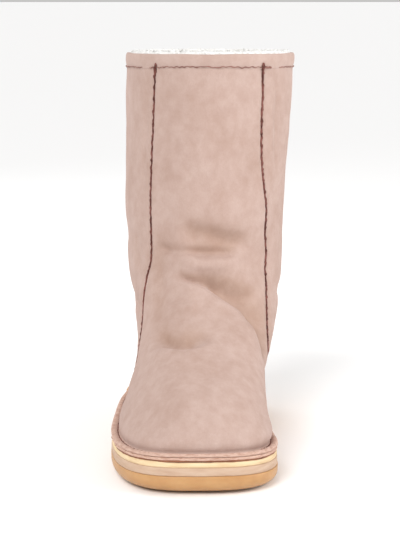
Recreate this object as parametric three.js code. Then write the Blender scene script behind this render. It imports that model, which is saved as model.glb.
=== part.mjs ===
// A short sheepskin boot for the right foot, as separate closed solids, in millimetres.
//
// Frame: +Z up, the toe along -Y, the outer (lateral) side along -X. The origin lies on the floor
// under the middle of the heel. Lengths along the foot are given as "along", measured forward
// from the back edge of the sole, so y = HEEL_BACK - along.
//
// Every ring of the boot, from the sole's edge to the collar, is one family of outlines: two
// half ovals, lateral and medial, each with its own greatest width, the place of that width, and
// a pinch at the waist. The upper is a skin through the rings of UPPER_RINGS. Its wool wall, the
// heel counter and the collar binding are all worked out from that one skin.

import * as THREE from 'three';

// ---------------------------------------------------------------- driving sizes
const SOLE_LENGTH = 278;
const HEEL_BACK = 40;          // y of the sole's back edge: the heel's middle is at y = 0
const GAP = 0.3;               // clear space between pieces that meet

// Sole: thickness of each layer at the heel and at the forefoot, and how its edge lies.
const OUTSOLE = { heel: 15.9, forefoot: 11.2 };
const MIDSOLE = { heel: 3, forefoot: 5.4, inset: 0.2 };
const RUNNER = { heel: 3, forefoot: 3.4, inset: 0.4 };
const BOARD = { heel: 2.6, forefoot: 2.6, inset: 0.1 };
const SHEET_EASE = 0.4;        // how far a sheet's edge is drawn in at its top and bottom
const WEDGE = [80, 165];       // the layers change between these lengths along the foot
const ARCH = { from: 78, to: 152, lift: 2.5 };
const TOE_SPRING = { from: 207, lift: 2.2 };
const EDGE_ROUND = { up: 7.5, heelIn: 4.5, toeIn: 10 };  // the outsole's rounded lower edge
const HEEL_SWING = 11;         // the heel lies this far to the medial side of the forefoot

// Upper
const FLANGE = { thickness: 2.1, width: 5.2, inset: 0.4 };  // the upper's out-turned edge
const WALL = 9;                // 2 mm of hide and 7 mm of wool
const COLLAR = { back: 278.5, front: 280 };
const INSOLE = { thickness: 6, clear: 2.4, round: 2 };      // the sheepskin footbed

// Collar binding and heel counter
const BINDING = { thickness: 1.2, height: 10.5, lip: 3.2, round: 0.4 };
const COUNTER = {
  thickness: 2,
  columns: { lateral: 12, medial: 14 },  // how far it reaches round each side, in columns
  rows: 12,                    // points up its wall
  gap: 0.6,                    // behind it, because its facets and the upper's differ
  edgeIn: 0.8,                 // its turned-out edge stops short of the sole's edge
  fold: 2.5,                   // height of the first row of its wall over the crease
  topReach: 23,                // degrees to the end of the level top edge
  topHeight: 136,
  frontHeight: 72,
};

// Mesh density
const COLUMNS = 64;            // points round every ring
const RINGS = 22;              // steps from the crease to the collar

// One outline: lengths along the foot and heights at its back and front, then for each side the
// half width, where it lies as a share of the length, and the waist's pinch as a share of the
// width. "toe" and "heel" are how square each end is (2 is an oval). "follow" is how much of the
// sole's own rise and fall the ring copies, and "swing" how much of its sideways swing at the heel.
const OUTLINE_COLUMNS = [
  'back', 'backZ', 'front', 'frontZ',
  'lateral', 'lateralAt', 'lateralPinch', 'medial', 'medialAt', 'medialPinch',
  'toe', 'heel', 'follow', 'swing',
];
const rowsOf = (table) => table.map(
  (row) => Object.fromEntries(OUTLINE_COLUMNS.map((name, i) => [name, row[i]])));

const [SOLE_EDGE] = rowsOf([
  [0, 0, SOLE_LENGTH, 0, 59, 0.56, -0.03, 56.8, 0.77, 0.27, 3, 2.7, 1, 1],
]);

// ---------------------------------------------------------------- the sole's heights
const { lerp, smoothstep, degToRad } = THREE.MathUtils;
const yAt = (along) => HEEL_BACK - along;
const alongAt = (y) => HEEL_BACK - y;

const spring = (along) => {
  const past = Math.max(along - TOE_SPRING.from, 0) / (SOLE_LENGTH - TOE_SPRING.from);
  return TOE_SPRING.lift * past ** 2;
};
const treadZ = (along) => {
  const share = THREE.MathUtils.clamp((along - ARCH.from) / (ARCH.to - ARCH.from), 0, 1);
  return ARCH.lift * Math.sin(Math.PI * share) ** 2 + spring(along);
};
const thicknessAt = (layer, along) =>
  lerp(layer.heel, layer.forefoot, smoothstep(along, ...WEDGE));
const outsoleTop = (along) => thicknessAt(OUTSOLE, along) + spring(along);
const midsoleTop = (along) => outsoleTop(along) + GAP + thicknessAt(MIDSOLE, along);
const runnerTop = (along) => midsoleTop(along) + GAP + thicknessAt(RUNNER, along);
const boardTop = (along) => runnerTop(along) + GAP + thicknessAt(BOARD, along);
const flangeTop = (along) => boardTop(along) + GAP + FLANGE.thickness;

// ---------------------------------------------------------------- outlines
const WAIST = { lateral: 0.34, medial: 0.5, spread: 0.2 };
const SWING_ENDS = 0.8;        // share of the length at which the heel's swing has faded out

/** Half width of one side of an outline, at a share of its length from the back. */
function halfWidth(row, side, share) {
  const at = row[`${side}At`];
  const ahead = share > at;
  const out = ahead ? (share - at) / (1 - at) : (at - share) / at;
  const square = ahead ? row.toe : row.heel;
  const oval = Math.max(1 - out ** square, 0) ** (1 / square);
  const waist = Math.exp(-(((share - WAIST[side]) / WAIST.spread) ** 2));
  return row[side] * oval * (1 - row[`${side}Pinch`] * waist);
}

/** A point of an outline. turn runs from 0 at the back, by the lateral side, to a full circle. */
function ringPoint(row, turn, inset = 0) {
  const share = (1 - Math.cos(turn)) / 2;
  const side = Math.sin(turn) >= 0 ? 'lateral' : 'medial';
  const along = lerp(row.back + inset, row.front - inset, share);
  const width = halfWidth({ ...row, [side]: row[side] - inset }, side, share);
  const straight = lerp(flangeTop(row.back), flangeTop(row.front), share);
  const z = lerp(row.backZ, row.frontZ, share) + row.follow * (flangeTop(along) - straight);
  const middle = HEEL_SWING * (row.swing * (1 - smoothstep(share, 0, SWING_ENDS)) - 1);
  return new THREE.Vector3(middle + (side === 'lateral' ? -width : width), yAt(along), z);
}

const turnOf = (column) => (2 * Math.PI * column) / COLUMNS;

// ---------------------------------------------------------------- the upper's skin
const CREASE = { ...SOLE_EDGE,
  back: FLANGE.width, backZ: flangeTop(FLANGE.width),
  front: SOLE_LENGTH - FLANGE.width, frontZ: flangeTop(SOLE_LENGTH - FLANGE.width),
  lateral: SOLE_EDGE.lateral - FLANGE.width, medial: SOLE_EDGE.medial - FLANGE.width };

const UPPER_RINGS = [CREASE, ...rowsOf([
  [4, 36.5, 271.5, 37, 51.3, 0.57, -0.02, 52.5, 0.77, 0.28, 2.9, 2.5, 0.95, 0.98],
  [3.5, 47.5, 264, 49, 46.6, 0.58, 0.01, 50.6, 0.74, 0.25, 2.6, 2.4, 0.8, 0.86],
  [4, 58.5, 250, 61.5, 42.2, 0.57, 0.03, 51, 0.66, 0.12, 2.3, 2.25, 0.5, 0.57],
  [5, 70, 224, 74, 41.5, 0.53, 0.01, 55.5, 0.55, 0.01, 2.15, 2.15, 0.25, 0.27],
  [6.5, 84, 193, 89, 42.3, 0.48, 0, 60.5, 0.5, 0, 2.05, 2.1, 0.1, 0.08],
  [8, 100, 166, 106, 45, 0.47, 0, 64.2, 0.49, 0, 2, 2, 0, 0],
  [9.5, 124, 148, 130, 49, 0.48, 0, 66, 0.5, 0, 2, 2, 0, 0],
  [9.5, 165, 144, 170, 50.3, 0.5, 0, 67.3, 0.5, 0, 2, 2, 0, 0],
  [9, 220, 143, 222, 50, 0.5, 0, 70.8, 0.5, 0, 2, 2, 0, 0],
  [8.5, COLLAR.back, 142, COLLAR.front, 48.8, 0.5, 0, 73.8, 0.5, 0, 2, 2, 0, 0],
])];

/** The outline at any level, from 0 at the crease to 1 at the collar. */
function ringAt(level) {
  const last = UPPER_RINGS.length - 1;
  const place = THREE.MathUtils.clamp(level, 0, 1) * last;
  const low = Math.min(Math.floor(place), last - 1);
  const part = place - low;
  const near = [-1, 0, 1, 2].map((step) => UPPER_RINGS[THREE.MathUtils.clamp(low + step, 0, last)]);
  return Object.fromEntries(OUTLINE_COLUMNS.map((name) => {
    const [before, from, to, after] = near.map((ring) => ring[name]);
    const startSlope = low === 0 ? to - from : (to - before) / 2;
    const endSlope = low === last - 1 ? to - from : (after - from) / 2;
    const a = 2 * from - 2 * to + startSlope + endSlope;
    const b = 3 * to - 3 * from - 2 * startSlope - endSlope;
    return [name, ((a * part + b) * part + startSlope) * part + from];
  }));
}

/** A point of the upper's outside, moved out along its own normal. */
function skinPoint(turn, level, out = 0) {
  const point = ringPoint(ringAt(level), turn);
  if (out === 0) return point;
  const near = { turn: 0.02, level: 0.004 };
  const up = ringPoint(ringAt(Math.min(level + near.level, 1)), turn)
    .sub(ringPoint(ringAt(Math.max(level - near.level, 0)), turn));
  const round = ringPoint(ringAt(level), turn + near.turn)
    .sub(ringPoint(ringAt(level), turn - near.turn));
  const normal = round.cross(up).normalize();
  return point.addScaledVector(normal, out);
}

/** The level at which a column of the skin reaches a height. */
function levelAtHeight(turn, z) {
  let low = 0;
  let high = 1;
  for (let i = 0; i < 30; i += 1) {
    const middle = (low + high) / 2;
    if (skinPoint(turn, middle).z < z) low = middle;
    else high = middle;
  }
  return (low + high) / 2;
}

/** A point on the collar's rim, moved out level and up. */
function rimPoint(turn, out = 0, up = 0) {
  const rim = skinPoint(turn, 1);
  return skinPoint(turn, 1, out).setZ(rim.z + up);
}

// ---------------------------------------------------------------- building closed meshes
function meshOf(name, points, triangles, look) {
  const geometry = new THREE.BufferGeometry();
  const positions = points.flatMap((point) => [point.x, point.y, point.z]);
  geometry.setAttribute('position', new THREE.Float32BufferAttribute(positions, 3));
  geometry.setIndex(triangles);
  geometry.computeVertexNormals();
  const mesh = new THREE.Mesh(geometry, new THREE.MeshStandardMaterial(look));
  mesh.name = name;
  return mesh;
}

/** Four corners in turn, seen from outside anticlockwise. */
const quad = (a, b, c, d) => [a, b, c, a, c, d];

/** A tube-like solid round the boot: rings of points, each joined to the next, closed both ways. */
function bandMesh(name, rings, look) {
  const count = rings.length;
  const triangles = [];
  for (let r = 0; r < count; r += 1) {
    for (let c = 0; c < COLUMNS; c += 1) {
      const here = r * COLUMNS;
      const next = ((r + 1) % count) * COLUMNS;
      const beside = (c + 1) % COLUMNS;
      triangles.push(...quad(here + c, here + beside, next + beside, next + c));
    }
  }
  return meshOf(name, rings.flat(), triangles, look);
}

/** A solid slab: rings from its bottom to its top, with strips across from side to side. */
function slabMesh(name, rings, look) {
  const last = (rings.length - 1) * COLUMNS;
  const triangles = [];
  for (let r = 0; r < rings.length - 1; r += 1) {
    for (let c = 0; c < COLUMNS; c += 1) {
      const here = r * COLUMNS;
      const next = here + COLUMNS;
      const beside = (c + 1) % COLUMNS;
      triangles.push(...quad(here + c, here + beside, next + beside, next + c));
    }
  }
  const half = COLUMNS / 2;
  for (let c = 0; c < half; c += 1) {
    const across = (COLUMNS - c) % COLUMNS;
    const acrossNext = COLUMNS - c - 1;
    const under = [c, c + 1, acrossNext, across];
    const over = under.map((index) => index + last);
    if (c === 0) {
      triangles.push(under[0], under[2], under[1], over[0], over[1], over[2]);
    } else if (c === half - 1) {
      triangles.push(under[0], under[3], under[1], over[0], over[1], over[3]);
    } else {
      triangles.push(...quad(...over), ...quad(...under.reverse()));
    }
  }
  return meshOf(name, rings.flat(), triangles, look);
}

const ringOf = (pointAt) => Array.from({ length: COLUMNS }, (_, c) => pointAt(turnOf(c)));

/** A level ring of a layer: the sole's outline, drawn in by inset, at the height given. */
const layerRing = (inset, heightAt) => ringOf((turn) => {
  const point = ringPoint(SOLE_EDGE, turn, inset);
  point.z = heightAt(alongAt(point.y));
  return point;
});

// ---------------------------------------------------------------- the sole
/** A ring of the outsole's rounded edge: drawn in by a share of the rounding, up from the tread. */
const edgeRing = (share, up) => ringOf((turn) => {
  const round = lerp(EDGE_ROUND.heelIn, EDGE_ROUND.toeIn, (1 - Math.cos(turn)) / 2);
  const point = ringPoint(SOLE_EDGE, turn, share * round);
  return point.setZ(treadZ(alongAt(point.y)) + up);
});

function outsole() {
  const steps = [0, 30, 60, 90];
  const rounded = steps.map((degrees) => {
    const angle = degToRad(degrees);
    return edgeRing(1 - Math.sin(angle), EDGE_ROUND.up * (1 - Math.cos(angle)));
  });
  return slabMesh('outsole', [...rounded, layerRing(0, outsoleTop)],
    { color: 0xd9a066, roughness: 0.45, metalness: 0 });
}

function soleSheet(name, bottom, layer, look) {
  const at = (part) => (along) => bottom(along) + GAP + part * thicknessAt(layer, along);
  return slabMesh(name, [layerRing(layer.inset + SHEET_EASE, at(0)), layerRing(layer.inset, at(0.5)),
    layerRing(layer.inset + SHEET_EASE, at(1))], look);
}

// ---------------------------------------------------------------- the upper
function upper() {
  const flangeEdge = (down) => layerRing(FLANGE.inset, (along) => flangeTop(along) - down);
  const outside = Array.from({ length: RINGS + 1 },
    (_, i) => ringOf((turn) => skinPoint(turn, i / RINGS)));
  const inside = Array.from({ length: RINGS - 1 },
    (_, i) => ringOf((turn) => skinPoint(turn, (RINGS - i) / RINGS, -WALL)));
  inside[0] = ringOf((turn) => rimPoint(turn, -WALL));
  const foot = (inset) => ringOf((turn) => {
    const point = ringPoint(CREASE, turn, inset);
    return point.setZ(flangeTop(alongAt(point.y)) - FLANGE.thickness);
  });
  return bandMesh('upper', [flangeEdge(FLANGE.thickness), flangeEdge(0), ...outside, ...inside,
    foot(WALL), foot(0)], { color: 0xd7b9af, roughness: 0.95, metalness: 0 });
}

function collarBinding() {
  const inner = GAP;
  const outer = GAP + BINDING.thickness;
  const lower = (out) => ringOf((turn) => {
    const z = rimPoint(turn).z - BINDING.height;
    return skinPoint(turn, levelAtHeight(turn, z), out);
  });
  const rim = (out, up) => ringOf((turn) => rimPoint(turn, out, up));
  return bandMesh('collar_binding', [
    lower(outer), rim(outer, 0), rim(outer - BINDING.round, outer),
    rim(-BINDING.lip, outer), rim(-BINDING.lip, inner), rim(inner, inner), lower(inner)],
  { color: 0xdbbfb4, roughness: 0.95, metalness: 0 });
}

// ---------------------------------------------------------------- the heel counter
/** Height of the counter's upper edge, at a turn round the heel from its centre. */
function counterTop(turn) {
  const topEnd = degToRad(COUNTER.topReach);
  const reach = turnOf(turn > 0 ? COUNTER.columns.lateral : COUNTER.columns.medial);
  const slant = (Math.abs(turn) - topEnd) / (reach - topEnd);
  return lerp(COUNTER.topHeight, COUNTER.frontHeight, Math.max(slant, 0));
}

function heelCounter() {
  const { lateral, medial } = COUNTER.columns;
  const across = lateral + medial;
  const sheet = (out) => Array.from({ length: across + 1 }, (_, i) => {
    const turn = turnOf(i - medial);
    const edge = ringPoint(SOLE_EDGE, turn, COUNTER.edgeIn);
    edge.z = flangeTop(alongAt(edge.y)) + out;
    const crease = ringPoint(CREASE, turn, -out);
    crease.z = flangeTop(alongAt(crease.y)) + out;
    const top = counterTop(turn);
    const wall = Array.from({ length: COUNTER.rows }, (_, k) => {
      const z = lerp(crease.z + COUNTER.fold, top, k / (COUNTER.rows - 1));
      return skinPoint(turn, levelAtHeight(turn, z), out);
    });
    return [edge, crease, ...wall];
  });
  const outer = sheet(COUNTER.gap + COUNTER.thickness);
  const inner = sheet(COUNTER.gap);
  const rows = COUNTER.rows + 2;
  const outerAt = (i, k) => i * rows + k;
  const innerAt = (i, k) => (across + 1) * rows + i * rows + k;
  const triangles = [];
  for (let i = 0; i < across; i += 1) {
    for (let k = 0; k < rows - 1; k += 1) {
      triangles.push(...quad(outerAt(i, k), outerAt(i + 1, k), outerAt(i + 1, k + 1), outerAt(i, k + 1)));
      triangles.push(...quad(innerAt(i, k), innerAt(i, k + 1), innerAt(i + 1, k + 1), innerAt(i + 1, k)));
    }
    const top = rows - 1;
    triangles.push(...quad(innerAt(i, 0), innerAt(i + 1, 0), outerAt(i + 1, 0), outerAt(i, 0)));
    triangles.push(...quad(outerAt(i, top), outerAt(i + 1, top), innerAt(i + 1, top), innerAt(i, top)));
  }
  for (let k = 0; k < rows - 1; k += 1) {
    triangles.push(...quad(innerAt(0, k), outerAt(0, k), outerAt(0, k + 1), innerAt(0, k + 1)));
    triangles.push(...quad(outerAt(across, k), innerAt(across, k),
      innerAt(across, k + 1), outerAt(across, k + 1)));
  }
  return meshOf('heel_counter', [...outer.flat(), ...inner.flat()], triangles,
    { color: 0xeec49c, roughness: 0.6, metalness: 0 });
}

// ---------------------------------------------------------------- the footbed
function insole() {
  const bed = (inset, heightAt) => ringOf((turn) => {
    const point = ringPoint(CREASE, turn, inset);
    point.z = heightAt(alongAt(point.y));
    return point;
  });
  const low = (along) => boardTop(along) + GAP;
  const high = (along) => low(along) + INSOLE.thickness;
  const edge = WALL + INSOLE.clear;
  return slabMesh('insole', [bed(edge, low), bed(edge, (along) => high(along) - INSOLE.round),
    bed(edge + INSOLE.round, high)], { color: 0xe8e4dd, roughness: 1, metalness: 0 });
}

// ---------------------------------------------------------------- the boot
const boot = new THREE.Group();
boot.add(
  outsole(),
  soleSheet('midsole', outsoleTop, MIDSOLE, { color: 0xe6bd98, roughness: 0.8, metalness: 0 }),
  soleSheet('runner', midsoleTop, RUNNER, { color: 0xf2d6ae, roughness: 0.8, metalness: 0 }),
  soleSheet('insole_board', runnerTop, BOARD, { color: 0xd2ab93, roughness: 0.95, metalness: 0 }),
  upper(),
  heelCounter(),
  collarBinding(),
  insole(),
);

export default boot;
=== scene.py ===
"""A short sheepskin boot for the right foot: its looks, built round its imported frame.

Shapes are worked out in millimetres in the boot's own frame: +Z up, the toe along -Y, the outer
(lateral) side along -X, the heel's middle over the origin. "along" is a length measured forward
from the sole's back edge. "turn" is an angle round the boot from the centre back, by the lateral
side (90 degrees), to the toe (180) and back by the medial side (270): in degrees in the tables, in
radians where a function takes it. "level" runs up the upper from its crease (0) to its rim (1),
and "out" is how far a point stands out of the plain skin.
"""
import math
import random

import bpy
import numpy as np
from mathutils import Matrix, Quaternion, Vector, noise


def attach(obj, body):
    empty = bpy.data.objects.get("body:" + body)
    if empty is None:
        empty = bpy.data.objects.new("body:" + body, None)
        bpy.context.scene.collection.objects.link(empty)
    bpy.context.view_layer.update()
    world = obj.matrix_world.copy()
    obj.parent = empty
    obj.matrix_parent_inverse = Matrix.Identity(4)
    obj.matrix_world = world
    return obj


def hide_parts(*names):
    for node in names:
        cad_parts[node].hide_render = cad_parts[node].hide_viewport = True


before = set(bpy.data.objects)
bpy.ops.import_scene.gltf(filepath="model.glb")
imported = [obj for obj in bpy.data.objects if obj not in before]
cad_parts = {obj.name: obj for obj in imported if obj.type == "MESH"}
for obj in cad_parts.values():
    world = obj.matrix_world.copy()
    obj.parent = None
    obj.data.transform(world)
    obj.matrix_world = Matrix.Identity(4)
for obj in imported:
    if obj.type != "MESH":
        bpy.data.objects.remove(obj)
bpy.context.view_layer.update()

MM = 0.001
BODY = "root"

# ---- sizes, millimetres
SOLE_LENGTH = 278.0
HEEL_BACK = 40.0          # y of the sole's back edge
GAP = 0.3                 # between the sole's layers
OUTSOLE = {"heel": 15.9, "forefoot": 11.2}
MIDSOLE = {"heel": 3.0, "forefoot": 5.4}
RUNNER = {"heel": 3.0, "forefoot": 3.4}
BOARD = {"heel": 2.6, "forefoot": 2.6}
# The dark brown band between the runner and the board: its thickness at heel and forefoot.
DARK_BAND = {"heel": 0.1, "forefoot": 1.2}
WEDGE = (80.0, 165.0)     # the layers' thicknesses change between these lengths along the foot
ARCH = {"from": 78.0, "to": 152.0, "lift": 2.5}
TOE_SPRING = {"from": 207.0, "lift": 2.2}
EDGE_ROUND = {"up": 7.5, "heel_in": 4.5, "toe_in": 10.0}
HEEL_SWING = 11.0         # the heel lies this far to the medial side of the forefoot
FLANGE = 2.1              # the upper's out-turned edge
FLANGE_WIDTH = 5.2
HIDE = 2.0
WALL = 9.0                # hide and wool together
BINDING = {"height": 10.0, "thickness": 0.9}
# The counter: its thickness, how far it reaches round each side in degrees and where its level
# top edge ends, and the heights of that edge and of its front corners.
COUNTER = {"thickness": 2.0, "gap": 0.1, "lateral_turn": 67.5, "medial_turn": 78.75,
           "top_turn": 23.0, "top": 136.0, "front": 72.0}
COLLAR = {"back": 278.5, "front": 280.0}

# One outline: lengths along the foot and heights at its back and front, then for each side the
# half width, where it lies as a share of the length, and the waist's pinch as a share of the
# width. "toe" and "heel" are how square each end is (2 is an oval). "follow" is how much of the
# sole's rise and fall the outline copies, and "swing" how much of its swing at the heel.
OUTLINE = ("back", "back_z", "front", "front_z", "lateral", "lateral_at", "lateral_pinch",
           "medial", "medial_at", "medial_pinch", "toe", "heel", "follow", "swing")
WAIST = {"lateral": 0.34, "medial": 0.5, "spread": 0.2}
SWING_ENDS = 0.8          # share of the length at which the heel's swing has faded out
ON_AXIS = 1e-9            # a sine smaller than this lies on the boot's middle line


# ---- the sole's heights
def lerp(a, b, t):
    return a + (b - a) * t


def smooth(x, low, high):
    t = np.clip((x - low) / (high - low), 0, 1)
    return t * t * (3 - 2 * t)


def bell(x, spread):
    return np.exp(-((x / spread) ** 2))


def spring(along):
    past = np.maximum(along - TOE_SPRING["from"], 0) / (SOLE_LENGTH - TOE_SPRING["from"])
    return TOE_SPRING["lift"] * past ** 2


def tread_z(along):
    share = np.clip((along - ARCH["from"]) / (ARCH["to"] - ARCH["from"]), 0, 1)
    return ARCH["lift"] * np.sin(np.pi * share) ** 2 + spring(along)


def thickness_at(layer, along):
    return lerp(layer["heel"], layer["forefoot"], smooth(along, *WEDGE))


def outsole_top(along):
    return thickness_at(OUTSOLE, along) + spring(along)


def midsole_top(along):
    return outsole_top(along) + GAP + thickness_at(MIDSOLE, along)


def runner_top(along):
    return midsole_top(along) + GAP + thickness_at(RUNNER, along)


def dark_band_top(along):
    return runner_top(along) + thickness_at(DARK_BAND, along)


def board_top(along):
    return runner_top(along) + GAP + thickness_at(BOARD, along)


def flange_top(along):
    return board_top(along) + GAP + FLANGE


# ---- outlines and the upper's skin
def outline(*values):
    return dict(zip(OUTLINE, values))


SOLE_EDGE = outline(0, 0, SOLE_LENGTH, 0, 59, 0.56, -0.03, 56.8, 0.77, 0.27, 3, 2.7, 1, 1)
CREASE = dict(SOLE_EDGE, back=FLANGE_WIDTH, front=SOLE_LENGTH - FLANGE_WIDTH,
              back_z=flange_top(FLANGE_WIDTH), front_z=flange_top(SOLE_LENGTH - FLANGE_WIDTH),
              lateral=SOLE_EDGE["lateral"] - FLANGE_WIDTH, medial=SOLE_EDGE["medial"] - FLANGE_WIDTH)
UPPER_RINGS = [CREASE] + [outline(*row) for row in (
    (4, 36.5, 271.5, 37, 51.3, 0.57, -0.02, 52.5, 0.77, 0.28, 2.9, 2.5, 0.95, 0.98),
    (3.5, 47.5, 264, 49, 46.6, 0.58, 0.01, 50.6, 0.74, 0.25, 2.6, 2.4, 0.8, 0.86),
    (4, 58.5, 250, 61.5, 42.2, 0.57, 0.03, 51, 0.66, 0.12, 2.3, 2.25, 0.5, 0.57),
    (5, 70, 224, 74, 41.5, 0.53, 0.01, 55.5, 0.55, 0.01, 2.15, 2.15, 0.25, 0.27),
    (6.5, 84, 193, 89, 42.3, 0.48, 0, 60.5, 0.5, 0, 2.05, 2.1, 0.1, 0.08),
    (8, 100, 166, 106, 45, 0.47, 0, 64.2, 0.49, 0, 2, 2, 0, 0),
    (9.5, 124, 148, 130, 49, 0.48, 0, 66, 0.5, 0, 2, 2, 0, 0),
    (9.5, 165, 144, 170, 50.3, 0.5, 0, 67.3, 0.5, 0, 2, 2, 0, 0),
    (9, 220, 143, 222, 50, 0.5, 0, 70.8, 0.5, 0, 2, 2, 0, 0),
    (8.5, COLLAR["back"], 142, COLLAR["front"], 48.8, 0.5, 0, 73.8, 0.5, 0, 2, 2, 0, 0))]
RING_TABLE = np.array([[ring[name] for name in OUTLINE] for ring in UPPER_RINGS], float)


def ring_point(row, turn, inset=0.0):
    """Points of an outline. turn is in radians."""
    share = (1 - np.cos(turn)) / 2
    medial = np.sin(turn) < -ON_AXIS

    def side(part):
        return np.where(medial, row["medial" + part], row["lateral" + part])

    at = side("_at")
    ahead = share > at
    out = np.where(ahead, (share - at) / (1 - at), (at - share) / at)
    square = np.where(ahead, row["toe"], row["heel"])
    oval = np.maximum(1 - out ** square, 0) ** (1 / square)
    waist_at = np.where(medial, WAIST["medial"], WAIST["lateral"])
    waist = bell(share - waist_at, WAIST["spread"])
    width = (side("") - inset) * oval * (1 - side("_pinch") * waist)
    along = lerp(row["back"] + inset, row["front"] - inset, share)
    straight = lerp(flange_top(row["back"]), flange_top(row["front"]), share)
    z = lerp(row["back_z"], row["front_z"], share) + row["follow"] * (flange_top(along) - straight)
    middle = HEEL_SWING * (row["swing"] * (1 - smooth(share, 0, SWING_ENDS)) - 1)
    return np.stack([middle + np.where(medial, width, -width), HEEL_BACK - along, z + 0 * share], -1)


def ring_at(level):
    """The outline at any level, from 0 at the crease to 1 at the collar."""
    last = len(RING_TABLE) - 1
    place = np.clip(np.asarray(level, float), 0, 1) * last
    low = np.minimum(place.astype(int), last - 1)
    part = (place - low)[..., None]
    before, start = RING_TABLE[np.maximum(low - 1, 0)], RING_TABLE[low]
    end, after = RING_TABLE[low + 1], RING_TABLE[np.minimum(low + 2, last)]
    start_slope = np.where((low == 0)[..., None], end - start, (end - before) / 2)
    end_slope = np.where((low == last - 1)[..., None], end - start, (after - start) / 2)
    a = 2 * start - 2 * end + start_slope + end_slope
    b = 3 * end - 3 * start - 2 * start_slope - end_slope
    values = ((a * part + b) * part + start_slope) * part + start
    return {name: values[..., i] for i, name in enumerate(OUTLINE)}


NEAR = {"turn": 0.02, "level": 0.004}   # steps to either side that give the skin's slopes
HALVINGS = 26                           # of the range of levels, in search of a height


def skin(turn, level, out=0.0):
    """Points of the upper's outside, moved out along the skin's own normal."""
    turn, level = np.broadcast_arrays(np.asarray(turn, float), np.asarray(level, float))
    row = ring_at(level)
    point = ring_point(row, turn)
    if np.isscalar(out) and out == 0:
        return point
    higher, lower = ring_at(level + NEAR["level"]), ring_at(level - NEAR["level"])
    up = ring_point(higher, turn) - ring_point(lower, turn)
    along_ring = ring_point(row, turn + NEAR["turn"]) - ring_point(row, turn - NEAR["turn"])
    normal = np.cross(along_ring, up)
    normal /= np.linalg.norm(normal, axis=-1, keepdims=True)
    return point + normal * np.asarray(out, float)[..., None]


def level_at_height(turn, z):
    """The level at which a column of the skin reaches a height."""
    turn, z = np.broadcast_arrays(np.asarray(turn, float), np.asarray(z, float))
    low, high = np.zeros(z.shape), np.ones(z.shape)
    for _ in range(HALVINGS):
        middle = (low + high) / 2
        below = skin(turn, middle)[..., 2] < z
        low, high = np.where(below, middle, low), np.where(below, high, middle)
    return (low + high) / 2


# ---- unevenness, the same in every run
def ripple(ring, size, seed):
    """Noise round a ring, by its places seen from above. Sizes of noise are in millimetres."""
    return np.array([noise.noise(Vector((p[0] / size, p[1] / size, seed))) for p in ring])


def waves(points, size):
    """Noise at points in space."""
    flat = points.reshape(-1, 3)
    return np.array([noise.noise(Vector(p) / size) for p in flat]).reshape(points.shape[:-1])


def noise_along(lengths, size, row, layer):
    """Noise along a line, in a row and layer of its own."""
    return np.array([noise.noise(Vector((length / size, row, layer))) for length in lengths])


# ---- seams and folds on the skin
ACROSS = 1.08          # millimetres round the boot for one degree of turn

# The two front seams, as (turn, z), from the collar down to the flange.
LATERAL_SEAM = ((147.2, 273.5), (146.4, 270), (144.2, 241), (142.6, 209), (140.8, 171), (140.6, 150),
                (138.0, 131), (132.8, 121), (125.0, 108), (117.5, 93), (111.5, 78), (104.0, 62),
                (97.0, 45), (93.0, 24))
MEDIAL_SEAM = ((221.6, 273.5), (222.2, 266), (223.3, 250), (223.2, 237), (224.0, 215), (228.5, 185),
               (231.5, 169), (231.0, 153), (233.0, 136), (232.6, 127), (234.6, 117), (238.0, 101),
               (242.4, 90), (248.4, 76), (254.0, 62), (259.0, 45), (264.0, 24))

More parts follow.
